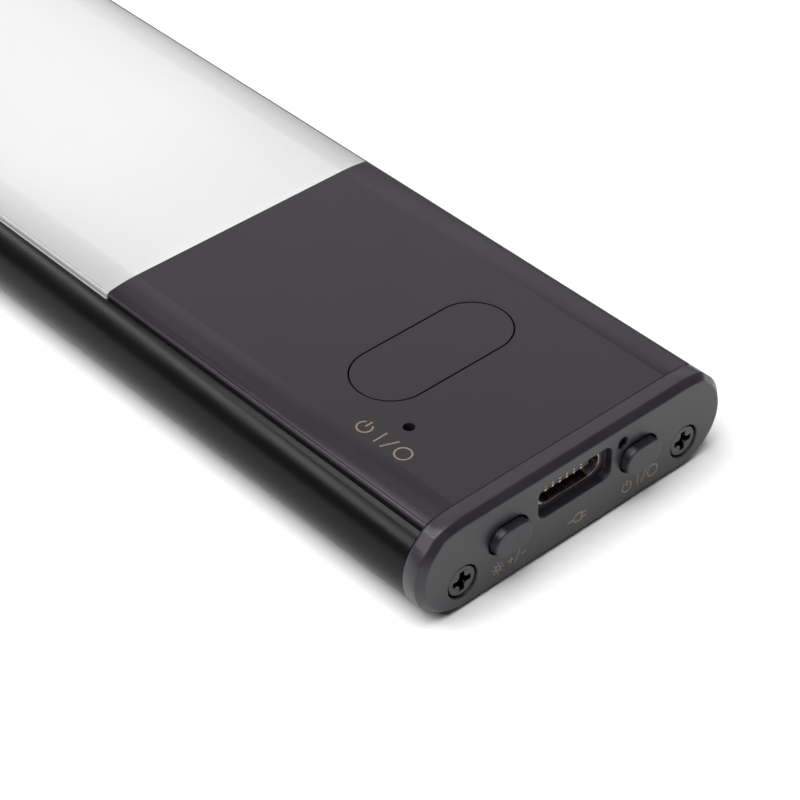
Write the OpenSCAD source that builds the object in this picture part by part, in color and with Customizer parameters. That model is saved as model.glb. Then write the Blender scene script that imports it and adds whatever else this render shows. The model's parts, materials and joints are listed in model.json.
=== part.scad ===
// Rechargeable flat LED light bar: extruded channel, frosted diffuser, control panel and
// screwed end caps. X runs along the bar, +X is the socket end, +Z is the lit side.

/* [Bar] */
// Overall length, tips of the end buttons included
bar_len = 300; // [220:1:500]
// Overall width
bar_w = 43; // [43:0.5:50]
// Overall thickness
bar_t = 11.6; // [11.6:0.1:12.2]
// Wall of the extruded channel
wall = 1.2; // [1:0.1:1.3]
// Half width of the diffuser and of the control panel
insert_hw = 18.65; // [18.5:0.05:18.7]
// Gap between the channel lips and the inserts
lip_gap = 0.3; // [0.26:0.02:0.36]
// Skin of the diffuser and of the control panel
skin = 1.2; // [1:0.1:1.2]
// How far the diffuser lies below the panel
diffuser_drop = 0.15; // [0:0.05:0.2]
// Half width of the flat top, where the crowned shoulders begin
flat_hw = 14.7; // [14:0.1:15]
// Radius of the crowned shoulders
crown_r = 20; // [18:1:24]

/* [Control end] */
// Distance from the cap face to the panel and diffuser joint
panel_end = 52.5; // [52:0.5:60]
// Thickness of each end cap, face to seam
cap_t = 2.45; // [2.45:0.05:3]
// Chamfer round each cap face
cap_chamfer = 0.7; // [0.4:0.1:1]
// Length of the oval key across the bar
key_len = 20.1; // [16:0.1:22]
// Width of the oval key along the bar
key_wid = 8.6; // [7:0.2:9]
// Distance from the cap face to the middle of the key
key_back = 21.5; // [20:0.1:24]
// Gap round the key
key_gap = 0.2; // [0.15:0.05:0.3]
// Travel of the key
key_travel = 0.3; // [0.2:0.05:0.35]
// Distance of the sensor pinhole from the cap face
pin_back = 14.0; // [13.8:0.1:14.6]
// Offset of the sensor pinhole to the near side
pin_side = 10.1; // [9:0.1:11]
// Diameter of the sensor pinhole
pin_dia = 1.3; // [1:0.1:1.6]

/* [End buttons] */
// Offset of the whole row of buttons and socket from the middle
row_y = -0.35; // [-0.4:0.05:0]
// Offset of each end button from the middle of the row
button_y = 9.2; // [9.2:0.1:9.4]
// Height of the end button centres
button_z = 6.1; // [6:0.05:6.2]
// Long axis of each button hole
button_len = 5.5; // [5:0.1:5.6]
// Short axis of each button hole
button_h = 3.7; // [3.5:0.1:3.8]
// Gap round each end button
button_gap = 0.25; // [0.1:0.05:0.25]
// How far each end button stands out
button_proud = 0.9; // [0.5:0.1:1]
// Travel of each end button
button_travel = 0.4; // [0.2:0.05:0.4]

/* [Socket] */
// Height of the socket centre
usb_z = 7.5; // [7.4:0.05:7.6]
// Width of the recess round the socket
usb_recess_w = 10.4; // [9.8:0.1:10.8]
// Height of the recess round the socket
usb_recess_h = 4.1; // [3.8:0.1:4.2]
// Depth of the recess
usb_recess_d = 1.0; // [0.8:0.1:1.2]

/* [Screws] */
// Offset of each cap screw from the middle
screw_y = 15.75; // [15.6:0.05:15.8]
// Height of the cap screws
screw_z = 3.75; // [3.7:0.05:3.8]
// Diameter of the screw head
screw_head = 3.8; // [3.4:0.1:3.9]
// Diameter of the counterbore
screw_bore = 4.0; // [3.9:0.1:4.2]

/* [Light] */
// Spacing of the light emitters along each strip
led_pitch = 12; // [8:1:30]

/* [Hidden] */
$fn = 72;
e = 0.01;
tip_x = bar_len / 2;
face_x = tip_x - button_proud;
seam_x = face_x - cap_t;
rear_x = -bar_len / 2;
rear_seam = rear_x + cap_t;
joint_x = face_x - panel_end;
key_x = face_x - key_back;
pin_x = face_x - pin_back;
mid_z = bar_t / 2;
ledge_z = 7.75;
slot_hw = 19.45;
slot_top = 9.3;
leg_y = insert_hw - 0.6;
board_z = usb_z - 1.65;
board_t = 1.0;
board_hw = 13.5;
board_front = face_x - 2.75;
board_rear = face_x - 50;
under_z = bar_t - skin;
lip_y = insert_hw + lip_gap;
edge_r = 0.3;
seam_gap = 0.05;
bend = 46;
bend_z = 9.6;
bend_r = 2.4;
// Centre of the arc of radius bend_r that blends the crown into the bend line
bend_n = [sin(bend), cos(bend)];
bend_d = [cos(bend), -sin(bend)];
crown_c = [flat_hw, bar_t - crown_r];
bend_p = [bar_w / 2 - mid_z, mid_z] + (mid_z - e - bend_r) * bend_n - crown_c;
bend_s = -bend_p * bend_d - sqrt(pow(bend_p * bend_d, 2) - bend_p * bend_p + pow(crown_r - bend_r, 2));
bend_c = crown_c + bend_p + bend_s * bend_d;
bend_from = atan2(bend_c[0] - crown_c[0], bend_c[1] - crown_c[1]);
front_wall = 1.4;
flange_t = 0.6;
switch_z = board_z + 0.95;
pipe_y = 6.75;
pipe_z = 8.85;
led_first = rear_seam + 10;
led_n = floor((joint_x - 8 - led_first) / led_pitch) + 1;
cell_len = (board_rear - 2 - (rear_seam + 5) - 6) / 2;

// Extrude a (y, z) outline from x0 to x1
module along_x(x0, x1)
    translate([x0, 0, 0]) rotate([90, 0, 90]) linear_extrude(x1 - x0) children();

// Box given by its low and high corners
module block(lo, hi) translate(lo) cube([hi[0] - lo[0], hi[1] - lo[1], hi[2] - lo[2]]);

// Oval outline, long axis first
module oval(w, h) {
    square([w - h, h], center = true);
    for (s = [-1, 1]) translate([s * (w - h) / 2, 0]) circle(d = h);
}

module rounded(w, h, r) {
    square([w - 2 * r, h], center = true);
    square([w, h - 2 * r], center = true);
    for (s = [-1, 1], t = [-1, 1])
        translate([s * (w / 2 - r), t * (h / 2 - r)]) circle(r = r);
}

// Outline of the whole bar, shrunk by inset
module section(inset = 0)
    translate([0, mid_z]) oval(bar_w - 2 * inset, bar_t - 2 * inset);

// Flat top with crowned shoulders, up to half width hw
module crown(hw) intersection() {
    union() {
        square([2 * flat_hw, 2 * bar_t], center = true);
        for (s = [-1, 1]) translate([s * flat_hw, bar_t - crown_r]) circle(r = crown_r, $fn = 240);
    }
    translate([-hw, ledge_z + 0.3]) square([2 * hw, bar_t]);
}

// Crown whose top corners are rounded
module soft_crown(hw) {
    corner_z = bar_t - pow(hw - flat_hw, 2) / (2 * crown_r) - edge_r - 0.02;
    difference() {
        crown(hw);
        for (s = [-1, 1]) translate([s > 0 ? hw - edge_r : -hw - 1, corner_z]) square([edge_r + 1, 3]);
    }
    for (s = [-1, 1]) translate([s * (hw - edge_r), corner_z]) circle(r = edge_r);
}

// Everything below the line that closes the end cap's top corner, on the +Y side
module below_bend() translate([bar_w / 2 - mid_z, mid_z]) rotate(-bend)
    translate([-60, -60]) square([120, 60 + mid_z - e]);

// What the blend at the end cap's top corner takes off, on the +Y side
module bend_waste() translate(bend_c) difference() {
    polygon([for (r_a = [[0, 0], [6, bend_from], [7, (bend + bend_from) / 2], [6, bend]])
        r_a[0] * [sin(r_a[1]), cos(r_a[1])]]);
    circle(r = bend_r + e);
}

// Outline of the end caps: crowned top, rounded sides
module cap_section() {
    intersection() {
        section();
        translate([-bar_w, -1]) square([2 * bar_w, bend_z + 1]);
    }
    difference() {
        intersection() {
            crown(bar_w);
            translate([-bar_w, bend_z - e]) square([2 * bar_w, bar_t]);
            below_bend();
            mirror([1, 0]) below_bend();
        }
        bend_waste();
        mirror([1, 0]) bend_waste();
    }
}

// Oval along X, standing on the YZ plane
module oval_x(x0, x1, y, z, w, h)
    along_x(x0, x1) translate([y, z]) oval(w, h);

module rod_x(x0, x1, y, z, d)
    translate([x0, y, z]) rotate([0, 90, 0]) cylinder(d = d, h = x1 - x0);

// Straight lengths of wire through the listed points
module wire(pts, d) {
    for (i = [0 : len(pts) - 2]) {
        v = pts[i + 1] - pts[i];
        translate(pts[i])
            rotate([0, acos(v[2] / norm(v)), atan2(v[1], v[0])]) cylinder(d = d, h = norm(v));
    }
    for (i = [1 : len(pts) - 2]) translate(pts[i]) sphere(d = d);
}

module housing() color("#26262a") along_x(rear_seam + seam_gap, seam_x - seam_gap) {
    difference() {
        section();
        section(wall);
        for (s = [-1, 1])
            translate([s > 0 ? 15 : -slot_hw, ledge_z]) square([slot_hw - 15, slot_top - ledge_z]);
        translate([-lip_y, slot_top - 0.6]) square([2 * lip_y, 5]);
        translate([-5.1, -1]) square([10.2, 1.9]);
    }
    difference() {
        translate([-6.6, 0.9 + e]) square([13.2, 1 - e]);
        translate([-5.1, -1]) square([10.2, 1.9]);
    }
    for (s = [-1, 1]) {
        intersection() {
            section(0.4);
            translate([s > 0 ? 16.8 : -22, ledge_z - 0.6]) square([5.2, 0.6]);
        }
        translate([s > 0 ? 12.3 : -13.3, wall - 0.2])
            square([1, board_z - board_t - wall + 0.2]);
        difference() {
            translate([s * screw_y, screw_z]) {
                circle(r = 1.9);
                translate([-1.1, -2.6]) square([2.2, 2.6]);
            }
            translate([s * screw_y, screw_z]) circle(r = 1.0);
        }
    }
}

module magnet_strip() color("#3a3634")
    block([rear_seam + 3, -5, 0.12], [seam_x - 3, 5, 0.88]);

// Cross-section shared by the diffuser and the control panel
module insert_outline(drop) {
    translate([0, -drop]) difference() {
        soft_crown(insert_hw);
        translate([-leg_y, 0]) square([2 * leg_y, under_z]);
    }
    for (s = [-1, 1]) translate([s > 0 ? leg_y : 0.1 - slot_hw, ledge_z + 0.05])
        square([slot_hw - 0.1 - leg_y, slot_top - ledge_z - 0.2]);
}

// The diffuser's flanges fill the gaps beside the lips
module diffuser() color("#f2f2ee") along_x(rear_seam + seam_gap, joint_x - 0.05) {
    insert_outline(diffuser_drop);
    for (s = [-1, 1]) translate([s > 0 ? leg_y : 0.04 - lip_y, ledge_z + 0.05])
        square([lip_y - 0.04 - leg_y, 2.65]);
}

module light_guide() color("#dfe9ee")
    block([rear_seam + 1, -16.6, ledge_z + 0.3], [joint_x - 0.8, 16.6, ledge_z + 2.25]);

module reflector() color("#ffffff")
    block([rear_seam + 1, -17.8, ledge_z + 0.02], [joint_x - 0.8, 17.8, ledge_z + 0.27]);

module led_strip(s)
    block([rear_seam + 2, s > 0 ? 17.5 : -17.8, ledge_z + 0.3],
        [joint_x - 1, s > 0 ? 17.8 : -17.5, ledge_z + 1.7]);

module led_strip_near() color("#e8e6d8") led_strip(-1);
module led_strip_far() color("#e8e6d8") led_strip(1);

module led_chips() color("#f0d860")
    for (i = [0 : led_n - 1], s = [-1, 1])
        translate([led_first + i * led_pitch, s * 17.08, ledge_z + 1]) cube([2.8, 0.8, 1.2], center = true);

module control_panel() color("#48474a") difference() {
    union() {
        along_x(joint_x + 0.05, seam_x - seam_gap) insert_outline(0);
        block([joint_x + 0.05, -17, ledge_z + 0.3], [joint_x + 1.2, 17, under_z + 0.2]);
        translate([key_x, 0, under_z - 1.3]) rotate([0, 0, 90]) linear_extrude(1.4)
            oval(key_len + 3.4, key_wid + 3.4);
        for (s = [-1, 1]) translate([face_x - 47.5, s * 11, board_z + 0.03])
            cylinder(d = 2.4, h = under_z - board_z + 0.1);
    }
    translate([key_x, 0, 0]) rotate([0, 0, 90]) {
        linear_extrude(bar_t + 1) oval(key_len + 2 * key_gap, key_wid + 2 * key_gap);
        linear_extrude(under_z) oval(key_len + 1.9, key_wid + 1.9);
    }
    translate([pin_x, -pin_side, 5]) cylinder(d = pin_dia, h = 10);
}

// What the chamfer takes off a round outline of radius r about the X axis
module cone_cutter(r) rotate([0, 90, 0]) difference() {
    translate([0, 0, -cap_chamfer]) cylinder(r = r + 1, h = 2, $fn = 240);
    translate([0, 0, -cap_chamfer]) cylinder(r1 = r, r2 = r - cap_chamfer, h = cap_chamfer + e, $fn = 240);
}

// What the chamfer takes off a straight edge along Y, at height z
module edge_cutter(z) translate([0, 0, z]) rotate([0, 45, 0])
    cube([cap_chamfer * sqrt(2), 2 * bar_w, cap_chamfer * sqrt(2)], center = true);

// Plate with a chamfered face at x = 0, growing to -X
module cap_plate() {
    difference() {
        along_x(-cap_t, 0) cap_section();
        edge_cutter(0);
        edge_cutter(bar_t);
        for (m = [0, 1]) mirror([0, m, 0]) {
            translate([0, flat_hw, bar_t - crown_r]) intersection() {
                cone_cutter(crown_r);
                translate([-5, 0, 15]) cube([10, 4.6, 10]);
            }
            translate([0, bend_c[0], bend_c[1]]) intersection() {
                cone_cutter(bend_r + e);
                rotate([-bend_from, 0, 0]) translate([-5, 0, -2]) cube([10, 9, 9]);
                rotate([-bend, 0, 0]) translate([-5, -9, -2]) cube([10, 9, 9]);
            }
            translate([0, bar_w / 2 - mid_z, mid_z]) {
                rotate([-bend, 0, 0]) edge_cutter(mid_z - e);
                intersection() {
                    cone_cutter(mid_z);
                    translate([-5, 0, -10]) cube([10, 20, 20]);
                    rotate([-bend, 0, 0]) translate([-5, 0, -20]) cube([10, 20, 40]);
                }
            }
        }
    }
    block([-cap_t - 3, -11.8, 2.05], [-cap_t + e, 11.8, board_z - board_t - 0.1]);
}

module screw_hole(y) {
    rod_x(-9, 1, y, screw_z, 2.3);
    rod_x(-1.5, 1, y, screw_z, screw_bore);
}

module end_cap_front() color("#504e54") translate([face_x, 0, 0]) difference() {
    union() {
        cap_plate();
        for (s = [-1, 1])
            block([-cap_t - 3, s > 0 ? 9.5 : -14, under_z - 0.85],
                [-cap_t + e, s > 0 ? 14 : -9.5, under_z - 0.08]);
    }
    for (s = [-1, 1]) {
        screw_hole(s * screw_y);
        oval_x(-9, 1, row_y + s * button_y, button_z, button_len, button_h);
        oval_x(-cap_t - e, -front_wall, row_y + s * button_y, button_z, button_len + 1.6, button_h + 1.6);
    }
    along_x(-usb_recess_d, 1) translate([row_y, usb_z]) rounded(usb_recess_w, usb_recess_h, 1.1);
    oval_x(-9, 1, row_y, usb_z, 9.2, 3.52);
    rod_x(-9, 1, row_y + pipe_y, pipe_z, 1.4);
}

module end_cap_rear() color("#504e54") translate([rear_x, 0, 0]) mirror([1, 0, 0]) difference() {
    cap_plate();
    for (s = [-1, 1]) screw_hole(s * screw_y);
}

// Pan head screw with a cross recess, head face at x = 0, growing to -X
module cap_screw() difference() {
    union() {
        rod_x(-1.3, -0.3, 0, 0, screw_head);
        translate([-0.3, 0, 0]) rotate([0, 90, 0])
            cylinder(d1 = screw_head, d2 = screw_head - 0.4, h = 0.3);
        rod_x(-8, -1.3 + e, 0, 0, 1.96);
        translate([-8.8, 0, 0]) rotate([0, 90, 0]) cylinder(d1 = 0.7, d2 = 1.96, h = 0.8 + e);
    }
    for (a = [0, 90]) rotate([a, 0, 0])
        translate([-0.45, 0, 0]) cube([0.92, 2.4, 0.68], center = true);
    translate([-1.15, 0, 0]) rotate([0, 90, 0]) cylinder(d1 = 0.3, d2 = 1.35, h = 1.16);
}

module cap_screws() color("#2a2a2c") for (s = [-1, 1]) {
    translate([face_x - 0.14, s * screw_y, screw_z]) cap_screw();
    translate([rear_x + 0.14, s * screw_y, screw_z]) mirror([1, 0, 0]) cap_screw();
}

module control_board() color("#1f5a36") difference() {
    block([board_rear, -board_hw, board_z - board_t + 0.02], [board_front, board_hw, board_z]);
    for (s = [-1, 1]) for (x = [-46, -30])
        translate([face_x + x, s * 4, 0]) cylinder(d = 1, h = 9);
}

module usb_shell() color("#c9c9cc") translate([face_x - usb_recess_d, row_y, 0]) difference() {
    oval_x(-7.3, 0, 0, usb_z, 8.94, 3.26);
    oval_x(-6.9, 1, 0, usb_z, 8.5, 2.72);
}

module usb_tongue() color("#7f8894") translate([face_x - usb_recess_d, row_y, 0]) {
    oval_x(-6.9 + e, -5.6, 0, usb_z, 8.46, 2.68);
    block([-5.7, -3.34, usb_z - 0.35], [-0.5, 3.34, usb_z + 0.35]);
}

// Twelve contacts on each side, every other one folded over the tip of the tongue
module usb_contacts() color("#d9a441") translate([face_x - usb_recess_d, row_y, usb_z])
    for (i = [0 : 11], s = [0, 1]) mirror([0, 0, s]) translate([0, (i - 5.5) / 2, 0]) {
        folded = i % 2 == 0;
        block([-4.4, -0.14, 0.35], [folded ? -0.46 : -1.1, 0.14, 0.39]);
        if (folded) block([-0.5, -0.14, 0.12], [-0.46, 0.14, 0.39]);
    }

module side_switches() color("#303033") translate([0, row_y, 0]) for (s = [-1, 1]) difference() {
    block([face_x - 6.6, s * button_y - 2.25, board_z + 0.01],
        [face_x - 3.3, s * button_y + 2.25, board_z + 1.9]);
    block([face_x - 5.4, s * button_y - 1.1, switch_z - 0.6],
        [face_x - 3, s * button_y + 1.1, switch_z + 0.6]);
}

module key_switch() color("#2c2c30") difference() {
    block([key_x - 3, -3, board_z + 0.01], [key_x + 3, 3, under_z - 1.5]);
    translate([key_x, 0, under_z - 2.7]) cylinder(d = 3.2, h = 3);
}

module indicator_led() color("#e7e2c8") translate([0, row_y, 0])
    block([face_x - 5.1, 5.6, board_z + 0.01], [face_x - 3.5, 6.7, board_z + 0.6]);

module indicator_pipe() color("#b9c4cc") translate([0, row_y, 0]) {
    rod_x(face_x - 4.6, face_x - 0.55, pipe_y, pipe_z, 1.2);
    block([face_x - 4.9, 5.55, board_z + 0.65], [face_x - 3.7, 6.75, pipe_z + 0.5]);
}

module light_sensor() color("#1c1c20")
    translate([pin_x, -pin_side, board_z + 0.46]) cube([2, 1.6, 0.9], center = true);

module sensor_sleeve() color("#2e2e32") translate([pin_x, -pin_side, board_z + 0.02]) difference() {
    cylinder(d = 4, h = under_z - board_z - 0.06);
    translate([0, 0, -1]) cylinder(d = 1.8, h = 9);
    translate([0, 0, 0.4]) cube([2.1, 1.7, 1.4], center = true);
}

module charge_chip() color("#1a1a1c")
    block([face_x - 15, 4.6, board_z + 0.01], [face_x - 10, 9.6, board_z + 1.0]);

module driver_chip() color("#1a1a1c")
    block([face_x - 42, -8, board_z + 0.01], [face_x - 37, -4, board_z + 1.5]);

module inductor() color("#4a4a4e") translate([face_x - 36, 6, board_z + 0.01]) {
    cylinder(d = 6, h = 0.6);
    cylinder(d = 4, h = 2.6);
    translate([0, 0, 2]) cylinder(d = 6, h = 0.7);
}

// Pouch cell with its end terrace toward +X
module pouch(x0, x1) {
    block([x0, -11.9, 2.14], [x1 - 4, 11.9, 6.1]);
    block([x1 - 4 - e, -11, 2.14], [x1, 11, 3.2]);
}

module battery_cell_front() color("#b8bcc2") pouch(board_rear - 2 - cell_len, board_rear - 2);
module battery_cell_rear() color("#b8bcc2") pouch(rear_seam + 5, rear_seam + 5 + cell_len);

module battery_tape() color("#efe9d2")
    for (x = [rear_seam + 12, board_rear - 1 - cell_len + 10])
        block([x, -5.5, 1.92], [x + cell_len - 26, 5.5, 2.12]);

module lead(y) {
    x = board_rear;
    wire([[x - 4, y, 3.75], [x - 1.2, y, 3.75], [x - 1.2, y, 6.5], [x + 3, y, 6.5],
        [x + 3, y, board_z + 0.01]], 0.9);
}

module lead_red() color("#b02020") lead(3);
module lead_black() color("#202020") lead(-3);

module led_leads() color("#d8d8d8") for (s = [-1, 1])
    wire([[joint_x - 1.6, s * 15.7, 6.4], [joint_x + 9, s * 15.7, 6.4],
        [joint_x + 9, s * 10, 6.4], [joint_x + 9, s * 10, board_z + 0.01]], 0.8);

module end_button(s) translate([0, row_y, 0]) {
    w = button_len - 2 * button_gap;
    h = button_h - 2 * button_gap;
    oval_x(face_x - front_wall - flange_t, tip_x, s * button_y, button_z, w, h);
    oval_x(face_x - front_wall - flange_t - 0.02, face_x - front_wall - 0.02,
        s * button_y, button_z, w + 1.2, h + 1.2);
    block([face_x - 2.68, s * button_y - 1.3, board_z + 0.2],
        [face_x - front_wall - flange_t, s * button_y + 1.3, switch_z + 0.7]);
}

module end_plunger(s) color("#8a8a8e") translate([0, row_y, 0])
    block([face_x - 4.6, s * button_y - 1, switch_z - 0.5],
        [face_x - 2.7, s * button_y + 1, switch_z + 0.5]);

module dim_button() color("#525056") end_button(-1);
module dim_plunger() end_plunger(-1);
module power_button() color("#525056") end_button(1);
module power_plunger() end_plunger(1);

module mode_key() color("#4a494c") translate([key_x, 0, 0]) {
    rotate([0, 0, 90]) {
        translate([0, 0, under_z - 0.1]) linear_extrude(skin + 0.1) oval(key_len, key_wid);
        translate([0, 0, under_z - 0.65]) linear_extrude(0.6) oval(key_len + 1.5, key_wid + 1.5);
    }
    translate([0, 0, under_z - 1]) cylinder(d = 3, h = 1);
}

module mode_plunger() color("#8a8a8e")
    translate([key_x, 0, under_z - 2.3]) cylinder(d = 3, h = 1.28);

housing();
magnet_strip();
diffuser();
light_guide();
reflector();
led_strip_near();
led_strip_far();
led_chips();
control_panel();
end_cap_front();
end_cap_rear();
cap_screws();
control_board();
usb_shell();
usb_tongue();
usb_contacts();
side_switches();
key_switch();
indicator_led();
indicator_pipe();
light_sensor();
sensor_sleeve();
charge_chip();
driver_chip();
inductor();
battery_cell_front();
battery_cell_rear();
battery_tape();
lead_red();
lead_black();
led_leads();
dim_button();
dim_plunger();
power_button();
power_plunger();
mode_key();
mode_plunger();
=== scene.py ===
"""Looks for the flat LED light bar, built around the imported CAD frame."""
import json
import math

import bmesh
import bpy
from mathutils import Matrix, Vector


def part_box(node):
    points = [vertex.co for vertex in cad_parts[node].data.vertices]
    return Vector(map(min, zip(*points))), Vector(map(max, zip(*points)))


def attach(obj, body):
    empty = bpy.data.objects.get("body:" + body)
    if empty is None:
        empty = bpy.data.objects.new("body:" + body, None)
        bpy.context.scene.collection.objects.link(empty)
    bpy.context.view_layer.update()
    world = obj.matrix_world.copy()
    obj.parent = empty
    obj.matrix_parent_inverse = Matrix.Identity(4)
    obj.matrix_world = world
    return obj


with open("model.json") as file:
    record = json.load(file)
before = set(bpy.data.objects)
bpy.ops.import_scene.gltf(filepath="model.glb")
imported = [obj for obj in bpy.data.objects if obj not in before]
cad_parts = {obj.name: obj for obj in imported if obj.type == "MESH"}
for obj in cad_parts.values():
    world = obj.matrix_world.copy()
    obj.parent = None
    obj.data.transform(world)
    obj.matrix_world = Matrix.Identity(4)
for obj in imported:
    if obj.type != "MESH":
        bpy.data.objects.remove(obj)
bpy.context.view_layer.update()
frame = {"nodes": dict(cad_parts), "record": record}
nodes = frame["nodes"]
MM = 0.001

cap_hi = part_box("end_cap_front")[1]
FACE_X = cap_hi.x
TOP_Z = cap_hi.z
JOINT_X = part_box("diffuser")[1].x

FINE_SHARE = 0.6            # of the fine grain in a surface's colour, the rest being cloudy patches
ROUNDING_SAMPLES = 8
OPAL_PAINTED_SHADE_HALF_WIDTH = 20 * MM   # reach of the diffuser's painted shade towards its long edges, from its middle line
OPAL_JOINT_PAINTED_SHADE_REACH = 40 * MM         # reach of its painted shade back from the joint with the panel


# ---------------------------------------------------------------- node helpers
def link(nt, a, b):
    nt.links.new(a, b)


def new_material(name):
    mat = bpy.data.materials.new(name)
    mat.use_nodes = True
    nt = mat.node_tree
    nt.nodes.clear()
    out = nt.nodes.new("ShaderNodeOutputMaterial")
    bsdf = nt.nodes.new("ShaderNodeBsdfPrincipled")
    link(nt, bsdf.outputs["BSDF"], out.inputs["Surface"])
    coords = nt.nodes.new("ShaderNodeTexCoord")
    return mat, nt, bsdf, coords.outputs["Object"]


def noise(nt, coords, size, detail=2.0, stretch=(1, 1, 1), rough=0.5):
    """Noise whose features are about size metres across, stretched along the axes given."""
    mapping = nt.nodes.new("ShaderNodeMapping")
    mapping.inputs["Scale"].default_value = [1 / (size * s) for s in stretch]
    link(nt, coords, mapping.inputs["Vector"])
    tex = nt.nodes.new("ShaderNodeTexNoise")
    tex.inputs["Scale"].default_value = 1.0
    tex.inputs["Detail"].default_value = detail
    tex.inputs["Roughness"].default_value = rough
    link(nt, mapping.outputs["Vector"], tex.inputs["Vector"])
    return tex.outputs["Fac"]


def remap(nt, value, lo, hi, from_lo=0.3, from_hi=0.7):
    node = nt.nodes.new("ShaderNodeMapRange")
    node.inputs["From Min"].default_value = from_lo
    node.inputs["From Max"].default_value = from_hi
    node.inputs["To Min"].default_value = lo
    node.inputs["To Max"].default_value = hi
    link(nt, value, node.inputs["Value"])
    return node.outputs["Result"]


def math_node(nt, operation, a, b=None):
    node = nt.nodes.new("ShaderNodeMath")
    node.operation = operation
    for socket, value in zip(node.inputs, (a, b)):
        if isinstance(value, (int, float)):
            socket.default_value = value
        elif value is not None:
            link(nt, value, socket)
    return node.outputs[0]


def shade_of(nt, factor, dark, light):
    """Colour between two shades, by a factor from 0 to 1."""
    mix = nt.nodes.new("ShaderNodeMix")
    mix.data_type = "RGBA"
    mix.inputs["A"].default_value = (*dark, 1)
    mix.inputs["B"].default_value = (*light, 1)
    link(nt, factor, mix.inputs["Factor"])
    return mix.outputs["Result"]


def bump(nt, height, distance, strength=1.0, normal=None):
    node = nt.nodes.new("ShaderNodeBump")
    node.inputs["Strength"].default_value = strength
    node.inputs["Distance"].default_value = distance
    link(nt, height, node.inputs["Height"])
    if normal is not None:
        link(nt, normal, node.inputs["Normal"])
    return node.outputs["Normal"]


def scaled(colour, k):
    return tuple(min(1.0, c * k) for c in colour)


def surface(name, colour, rough, metallic=0.0, vary=0.08, patch=6 * MM, rough_vary=0.05,
            grain=0.12 * MM, grain_depth=0.004 * MM, grain_strength=0.5, stretch=(1, 1, 1),
            ior=1.5, soften=0.0):
    """Solid surface with cloudy colour, uneven gloss, a fine relief and edges shaded round."""
    mat, nt, bsdf, co = new_material(name)
    cloud = noise(nt, co, patch, 3.0)
    fine = noise(nt, co, grain, 3.0, stretch)
    blend = math_node(nt, "ADD", math_node(nt, "MULTIPLY", fine, FINE_SHARE),
                      math_node(nt, "MULTIPLY", cloud, 1 - FINE_SHARE))
    tone = remap(nt, blend, 0.0, 1.0)
    link(nt, shade_of(nt, tone, scaled(colour, 1 - vary), scaled(colour, 1 + vary)),
         bsdf.inputs["Base Color"])
    link(nt, remap(nt, cloud, rough - rough_vary, rough + rough_vary), bsdf.inputs["Roughness"])
    rounded = None
    if soften:
        round_edge = nt.nodes.new("ShaderNodeBevel")
        round_edge.samples = ROUNDING_SAMPLES
        round_edge.inputs["Radius"].default_value = soften
        rounded = round_edge.outputs["Normal"]
    link(nt, bump(nt, fine, grain_depth, grain_strength, rounded), bsdf.inputs["Normal"])
    bsdf.inputs["Metallic"].default_value = metallic
    bsdf.inputs["IOR"].default_value = ior
    return mat, nt, bsdf, co


def ramp(nt, value, stops):
    """Grey level by a factor from 0 to 1, through the (place, level) stops."""
    node = nt.nodes.new("ShaderNodeValToRGB")
    elements = node.color_ramp.elements
    while len(elements) < len(stops):
        elements.new(0.5)
    for element, (place, level) in zip(elements, stops):
        element.position = place
        element.color = (level, level, level, 1)
    link(nt, value, node.inputs["Fac"])
    return node.outputs["Color"]


def multiply(nt, a, b):
    """Product of two colours."""
    mix = nt.nodes.new("ShaderNodeMix")
    mix.data_type = "RGBA"
    mix.blend_type = "MULTIPLY"
    mix.inputs["Factor"].default_value = 1.0
    link(nt, a, mix.inputs["A"])
    link(nt, b, mix.inputs["B"])
    return mix.outputs["Result"]


def opal_with_painted_shade(name, colour):
    """Frosted cover, bright over the light guide, with painted shade in its colour towards both long
    edges over the black channel and near the joint with the panel.
    """
    mat, nt, bsdf, co = surface(name, colour, 0.36, vary=0.012, patch=25 * MM, grain=0.09 * MM,
                                grain_depth=0.002 * MM, grain_strength=0.35)
    xyz = nt.nodes.new("ShaderNodeSeparateXYZ")
    link(nt, co, xyz.inputs[0])
    # painted shade: the colour is darkened towards both long edges, standing in for the dark channel
    # seen through the cover
    across = math_node(nt, "MULTIPLY", math_node(nt, "ABSOLUTE", xyz.outputs["Y"]),
                       1 / OPAL_PAINTED_SHADE_HALF_WIDTH)
    edges = ramp(nt, across, [(0.0, 1.0), (0.42, 0.99), (0.60, 0.955), (0.733, 0.91), (0.748, 0.86),
                              (0.82, 0.79), (0.90, 0.64), (0.925, 0.62), (0.94, 0.52), (1.0, 0.50)])
    # painted shade: the colour is darkened a little near the joint with the panel
    to_joint = math_node(nt, "SUBTRACT", JOINT_X, xyz.outputs["X"])
    along = ramp(nt, math_node(nt, "MULTIPLY", to_joint, 1 / OPAL_JOINT_PAINTED_SHADE_REACH),
                 [(0.0, 0.97), (0.04, 0.93), (0.25, 0.95), (0.6, 1.0)])
    base = bsdf.inputs["Base Color"]
    link(nt, multiply(nt, multiply(nt, base.links[0].from_socket, edges), along), base)
    bsdf.inputs["Subsurface Weight"].default_value = 0.15
    bsdf.inputs["Subsurface Radius"].default_value = (1.0, 0.95, 0.9)
    bsdf.inputs["Subsurface Scale"].default_value = 0.5 * MM
    return mat


def clear(name, colour, rough):
    mat, nt, bsdf, co = surface(name, colour, rough, vary=0.02, grain_strength=0.1)
    bsdf.inputs["Transmission Weight"].default_value = 0.85
    return mat


def plain(name, *args, **kw):
    return surface(name, *args, **kw)[0]


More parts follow.
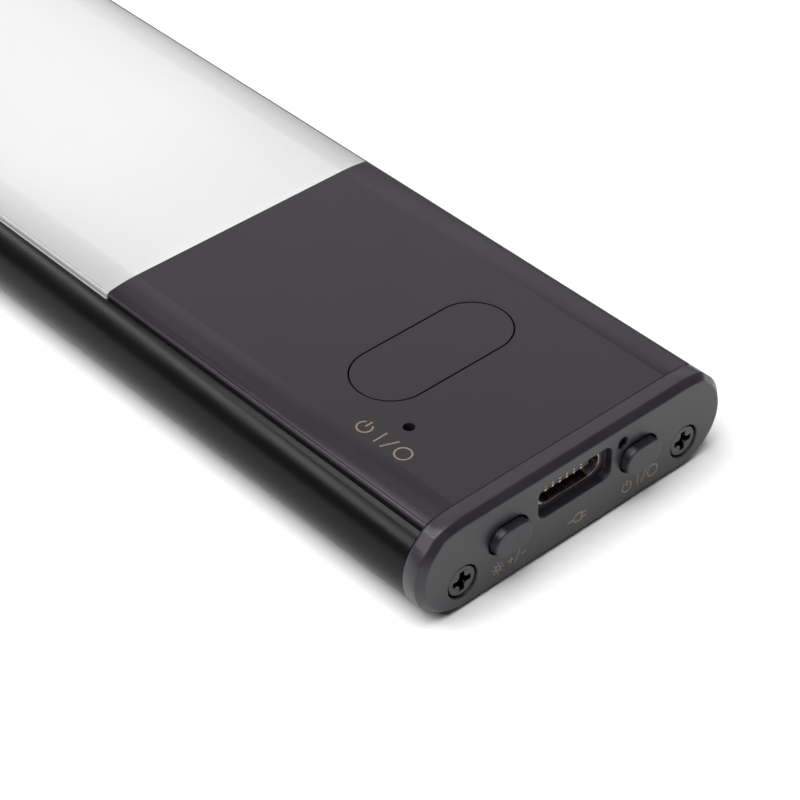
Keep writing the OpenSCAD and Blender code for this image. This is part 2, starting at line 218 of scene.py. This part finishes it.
# ------------------------------------------------------------------- materials
MATERIALS = {
    "channel_black_anodised": plain(
        "anodised", (0.0042, 0.0040, 0.0042), 0.25, vary=0.12, rough_vary=0.02,
        grain=0.10 * MM, stretch=(60, 1, 1), grain_depth=0.0015 * MM, ior=1.25),
    "magnet_rubber": plain("magnet", (0.030, 0.028, 0.027), 0.75, vary=0.2, grain=0.25 * MM,
                           grain_depth=0.02 * MM),
    "diffuser_opal": opal_with_painted_shade("opal_with_painted_shade", (0.56, 0.56, 0.565)),
    "light_guide_clear": clear("light_guide", (0.92, 0.95, 0.96), 0.08),
    "reflector_white": plain("reflector", (0.88, 0.88, 0.86), 0.55, vary=0.03),
    "strip_white": plain("strip", (0.72, 0.70, 0.62), 0.45, vary=0.06),
    "emitter_phosphor": plain("phosphor", (0.80, 0.62, 0.16), 0.5, vary=0.08),
    "panel_plastic": plain("panel", (0.0154, 0.0126, 0.0164), 0.34, vary=0.14, rough_vary=0.03,
                           grain=0.12 * MM, grain_depth=0.004 * MM, ior=1.38),
    "cap_plastic": plain("cap", (0.0185, 0.0155, 0.0208), 0.36, vary=0.14, rough_vary=0.03,
                         grain=0.10 * MM, grain_depth=0.005 * MM, ior=1.47, soften=0.35 * MM),
    "button_plastic": plain("button", (0.0168, 0.0140, 0.0190), 0.38, vary=0.14, rough_vary=0.03,
                            grain=0.10 * MM, grain_depth=0.005 * MM, ior=1.45, soften=0.4 * MM),
    "screw_black": plain("screw", (0.075, 0.072, 0.074), 0.36, metallic=1.0, vary=0.35,
                         rough_vary=0.08, grain=0.12 * MM, grain_depth=0.020 * MM),
    "board_green": plain("board", (0.012, 0.10, 0.035), 0.35, vary=0.2),
    "socket_steel": plain("steel", (0.55, 0.51, 0.46), 0.28, metallic=1.0, vary=0.10),
    "socket_insulator": plain("insulator", (0.055, 0.065, 0.10), 0.35, vary=0.12),
    "contact_gold": plain("gold", (0.90, 0.66, 0.34), 0.22, metallic=1.0, vary=0.06),
    "component_black": plain("component", (0.018, 0.018, 0.02), 0.5, vary=0.15),
    "plunger_grey": plain("plunger", (0.22, 0.22, 0.24), 0.4, vary=0.08),
    "led_lens": plain("led_lens", (0.72, 0.70, 0.58), 0.25, vary=0.04),
    "pipe_smoke": plain("pipe", (0.004, 0.004, 0.005), 0.12, vary=0.05, grain_strength=0.05),
    "cell_foil": plain("foil", (0.60, 0.62, 0.65), 0.38, metallic=0.9, vary=0.06),
    "tape_cream": plain("tape", (0.70, 0.64, 0.48), 0.6, vary=0.06),
    "wire_red": plain("wire_red", (0.40, 0.02, 0.02), 0.4, vary=0.08),
    "wire_black": plain("wire_black", (0.012, 0.012, 0.012), 0.4, vary=0.08),
    "wire_white": plain("wire_white", (0.68, 0.68, 0.66), 0.4, vary=0.05),
}
slot_of = {s["node"]: s["material_slot"] for s in frame["record"]["subparts"]}
for name, obj in nodes.items():
    obj.data.materials.clear()
    obj.data.materials.append(MATERIALS[slot_of[name]])

# ------------------------------------------------------- softened moulded edges
EDGES = {"housing": 0.08, "diffuser": 0.06, "control_panel": 0.06, "end_cap_front": 0.13,
         "end_cap_rear": 0.13, "cap_screws": 0.08, "mode_key": 0.06, "dim_button": 0.5,
         "power_button": 0.5, "usb_shell": 0.05, "magnet_strip": 0.15}
WELD_DISTANCE = 0.001 * MM
BEVEL_SEGMENTS = 3
BEVEL_ANGLE = math.radians(28)
for name, width in EDGES.items():
    obj = nodes[name]
    weld = obj.modifiers.new("weld", "WELD")
    weld.merge_threshold = WELD_DISTANCE
    bevel = obj.modifiers.new("bevel", "BEVEL")
    bevel.width = width * MM
    bevel.segments = BEVEL_SEGMENTS
    bevel.limit_method = "ANGLE"
    bevel.angle_limit = BEVEL_ANGLE
    bevel.harden_normals = True

# ------------------------------------------------------------- printed symbols
PRINT_T = 0.02 * MM
PRINT_SUNK = 0.017 * MM     # how much of that thickness lies below the surface
STROKE = 0.19 * MM
CIRCLE_STEPS = 24


def arc(cu, cv, r, start, end, steps=CIRCLE_STEPS):
    """Points along an arc, in mm; angles in degrees, anticlockwise from +u."""
    angles = [math.radians(start + (end - start) * i / steps) for i in range(steps + 1)]
    return [(cu + r * math.cos(t), cv + r * math.sin(t)) for t in angles]


def ribbon(bm, points, to_world, closed=False, width=STROKE):
    """Flat stroke of constant width along points (mm), mitred at its corners, as a closed solid."""
    flat = [Vector(p) * MM for p in points]
    count = len(flat)
    rings = []
    for i, p in enumerate(flat):
        before = flat[i - 1] if i or closed else p
        after = flat[(i + 1) % count] if i < count - 1 or closed else p
        into, out = (p - before).normalized(), (after - p).normalized()
        along = (into + out).normalized()
        side = Vector((-along.y, along.x))
        turn = max(0.5, (into.dot(out) + 1) / 2) ** 0.5 if into.length and out.length else 1.0
        reach = side * (width / 2 / turn)
        rings.append([bm.verts.new(to_world(q.x, q.y, h)) for q, h in
                      ((p + reach, PRINT_T), (p - reach, PRINT_T), (p - reach, 0), (p + reach, 0))])
    for i in range(count if closed else count - 1):
        a, b = rings[i], rings[(i + 1) % count]
        for k in range(4):
            bm.faces.new((a[k], a[(k + 1) % 4], b[(k + 1) % 4], b[k]))
    if not closed:
        bm.faces.new(rings[0])
        bm.faces.new(rings[-1])


def symbol(name, strokes, to_world):
    """One printed piece from (points, closed) strokes, riding on the bar."""
    bm = bmesh.new()
    for points, closed in strokes:
        ribbon(bm, points, to_world, closed)
    bmesh.ops.recalc_face_normals(bm, faces=bm.faces)
    mesh = bpy.data.meshes.new(name)
    bm.to_mesh(mesh)
    bm.free()
    obj = bpy.data.objects.new(name, mesh)
    bpy.context.scene.collection.objects.link(obj)
    mesh.materials.append(PRINT)
    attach(obj, "bar")


def circle(cu, cv, r):
    return arc(cu, cv, r, 0, 360 * (CIRCLE_STEPS - 1) / CIRCLE_STEPS, CIRCLE_STEPS - 1), True


def line(*points):
    return list(points), False


def plus_sign(u, v, h):
    gap = STROKE / MM / 2
    return [line((u - h, v), (u + h, v)), line((u, v + gap), (u, v + h)), line((u, v - gap), (u, v - h))]


def sun_sign(u, v, h):
    rays = []
    for i in range(8):
        c, s = math.cos(i * math.pi / 4), math.sin(i * math.pi / 4)
        rays.append(line((u + 0.68 * h * c, v + 0.68 * h * s), (u + h * c, v + h * s)))
    return [circle(u, v, 0.40 * h)] + rays


def power_sign(u, v, h):
    return [(arc(u, v - 0.08 * h, 0.84 * h, 125, 415), False), line((u, v + 0.05 * h), (u, v + h))]


def slash_sign(u, v, h):
    return [line((u - 0.42 * h, v - h), (u + 0.42 * h, v + h))]


def plug_sign(u, v, h):
    body = arc(u, v, 0.62 * h, 90, 270) + [(u + 0.75 * h, v - 0.62 * h), (u + 0.75 * h, v + 0.62 * h)]
    prongs = [line((u + 0.82 * h, v + k * h), (u + 1.6 * h, v + k * h)) for k in (-0.34, 0.34)]
    return [(body, True), line((u - 0.72 * h, v), (u - 1.7 * h, v))] + prongs


def on_end_face(cy, cz):
    """Local (u, v, height) in metres to the cap face: u along +Y, v up."""
    return lambda u, v, h: (FACE_X - PRINT_SUNK + h, cy + u, cz + v)


def on_panel(cx, cy):
    """Local (u, v, height) in metres to the panel top: u along +X, v along +Y."""
    return lambda u, v, h: (cx + u, cy + v, TOP_Z - PRINT_SUNK + h)


PRINT = plain("print", (0.20, 0.155, 0.11), 0.42, metallic=0.25, vary=0.22, patch=0.5 * MM,
              grain=0.06 * MM, grain_depth=0.003 * MM)
row_y = sum(v.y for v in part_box("usb_shell")) / 2
dim_y = sum(v.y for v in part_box("dim_button")) / 2
power_y = sum(v.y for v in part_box("power_button")) / 2
MARK_Z = 2.5 * MM
KEY_MARK_Y = -13.3 * MM
symbol("dim_mark", sun_sign(-1.75, 0, 0.80) + plus_sign(0.05, 0, 0.42) + slash_sign(0.95, 0, 0.72)
       + [line((1.45, 0), (2.2, 0))], on_end_face(dim_y + 0.35 * MM, MARK_Z))
symbol("socket_mark", plug_sign(0, 0, 0.82), on_end_face(row_y + 0.55 * MM, MARK_Z))
symbol("power_mark", power_sign(-1.95, 0, 0.78) + [line((-0.35, -0.75), (-0.35, 0.75))]
       + slash_sign(0.55, 0, 0.76) + [circle(1.85, 0, 0.72)], on_end_face(power_y + 0.5 * MM, MARK_Z))
pin_x = sum(v.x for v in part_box("sensor_sleeve")) / 2
symbol("key_mark", power_sign(-2.9, 0, 1.0) + [line((-0.65, -0.95), (-0.65, 0.95))]
       + slash_sign(0.75, 0, 0.98) + [circle(2.75, 0, 0.92)], on_panel(pin_x - 0.1 * MM, KEY_MARK_Y))

# ----------------------------------------------------------------- floor, light
floor_mat, nt, bsdf, co = surface("floor", (0.90, 0.90, 0.90), 0.6, vary=0.004, patch=0.2,
                                  grain=1 * MM, grain_strength=0.02)
FLOOR_SIZE = 8
bpy.ops.mesh.primitive_plane_add(size=FLOOR_SIZE)
floor = bpy.context.object
floor.name = "floor"
floor.data.materials.append(floor_mat)

WORLD_STRENGTH = 0.05
world = bpy.data.worlds.new("studio")
bpy.context.scene.world = world
world.use_nodes = True
world.node_tree.nodes["Background"].inputs["Color"].default_value = (1, 1, 1, 1)
world.node_tree.nodes["Background"].inputs["Strength"].default_value = WORLD_STRENGTH

# Relative radiance of each softbox
OVERHEAD, BACKDROP, SIDE_STRIP, RIGHT_FILL = 6.0, 1.15, 9.5, 0.8
UNDERSIDE = 2.5             # below the floor, so it reaches the base only when the floor is away
CONTROL_END = Vector((FACE_X - 25 * MM, 0, 6 * MM))


def softbox(name, azimuth, elevation, distance, width, height, radiance):
    """Area light in the given direction from the control end, azimuth 0 on +X and 90 on +Y."""
    a, e = math.radians(azimuth), math.radians(elevation)
    way = Vector((math.cos(a) * math.cos(e), math.sin(a) * math.cos(e), math.sin(e)))
    data = bpy.data.lights.new(name, "AREA")
    data.energy = radiance * math.pi * width * height
    data.shape = "RECTANGLE"
    data.size = width
    data.size_y = height
    obj = bpy.data.objects.new(name, data)
    bpy.context.scene.collection.objects.link(obj)
    obj.location = CONTROL_END + way * distance
    obj.rotation_euler = (CONTROL_END - obj.location).to_track_quat("-Z", "Y").to_euler()


softbox("overhead", -95, 77, 1.2, 1.1, 1.1, OVERHEAD)
softbox("backdrop", 128, 31, 2.0, 2.2, 1.0, BACKDROP)
softbox("side_strip", 227, 38, 1.0, 1.0, 0.16, SIDE_STRIP)
softbox("right_fill", 62, 28, 1.6, 0.5, 0.5, RIGHT_FILL)
softbox("underside", -60, -55, 1.4, 1.4, 1.4, UNDERSIDE)

# ---------------------------------------------------------------------- camera
AZIMUTH, ELEVATION = 47.78, 39.44   # degrees, azimuth 0 on -Y and 90 on +X
FOCAL_PX, FRAME_PX = 2603.0, 800
SENSOR_MM = 36.0
TARGET = Vector((FACE_X - 23.69 * MM, -2.53 * MM, 5.0 * MM))
DISTANCE = 273.96 * MM
a, e = math.radians(AZIMUTH), math.radians(ELEVATION)
back = Vector((math.sin(a) * math.cos(e), -math.cos(a) * math.cos(e), math.sin(e)))
cam_data = bpy.data.cameras.new("camera")
cam_data.sensor_width = SENSOR_MM
cam_data.lens = FOCAL_PX / FRAME_PX * SENSOR_MM
cam_data.clip_start = 0.01
cam = bpy.data.objects.new("camera", cam_data)
bpy.context.scene.collection.objects.link(cam)
cam.location = TARGET + back * DISTANCE
cam.rotation_euler = (-back).to_track_quat("-Z", "Y").to_euler()
bpy.context.scene.camera = cam
bpy.context.scene.view_settings.view_transform = "Standard"
